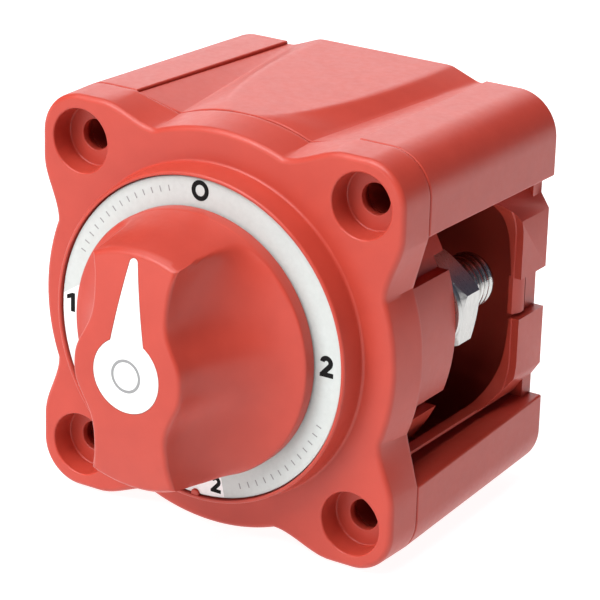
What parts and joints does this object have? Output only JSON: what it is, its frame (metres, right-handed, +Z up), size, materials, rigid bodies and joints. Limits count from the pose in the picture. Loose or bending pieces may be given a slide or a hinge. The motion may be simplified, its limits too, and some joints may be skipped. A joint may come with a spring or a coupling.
{
  "type": "battery selector switch",
  "caption": "Compact square battery selector switch: round dial with a scooped rotary knob in front, corner rails and snap-in side panels behind, and threaded studs inside.",
  "frame": {"origin": "centre of the rear mounting face, on the knob's axis", "axes": "+Z up, -Y out of the dial towards the user, +X to the user's right"},
  "size_m": [0.0701, 0.0752, 0.0706],
  "materials": {
    "red_plastic": "semi-matt moulded",
    "white_print": "satin print",
    "black_nylon": "matt",
    "copper": "machined",
    "tin_plate": "tin-plated copper",
    "stainless_steel": "bright",
    "rubber": "matt"
  },
  "bodies": {
    "housing": {"front_housing": "red_plastic", "label_ring": "white_print", "housing_gasket": "rubber", "detent_spring": "stainless_steel", "contact_housing": "red_plastic", "stud_1": "tin_plate", "washer_1": "stainless_steel", "nut_1": "stainless_steel", "stud_2": "tin_plate", "washer_2": "stainless_steel", "nut_2": "stainless_steel", "stud_common": "tin_plate", "washer_common": "stainless_steel", "nut_common": "stainless_steel", "housing_screw_1": "stainless_steel", "housing_screw_2": "stainless_steel", "housing_screw_3": "stainless_steel", "housing_screw_4": "stainless_steel", "rear_cover": "red_plastic", "top_panel": "red_plastic", "left_panel": "red_plastic", "bottom_panel": "red_plastic"},
    "knob_and_rotor": {"knob": "red_plastic", "knob_pointer": "white_print", "knob_screw": "stainless_steel", "rotor": "black_nylon", "shaft_o_ring": "rubber", "contact_bridge": "copper", "contact_spring": "stainless_steel"}
  },
  "joints": [
    {"name": "knob_turn", "type": "hinge", "parent": "housing", "child": "knob_and_rotor", "pos_m": [0, -0.051, 0], "axis": [0, 1, 0], "continuous": true, "deforming": ["detent_spring"]}
  ]
}
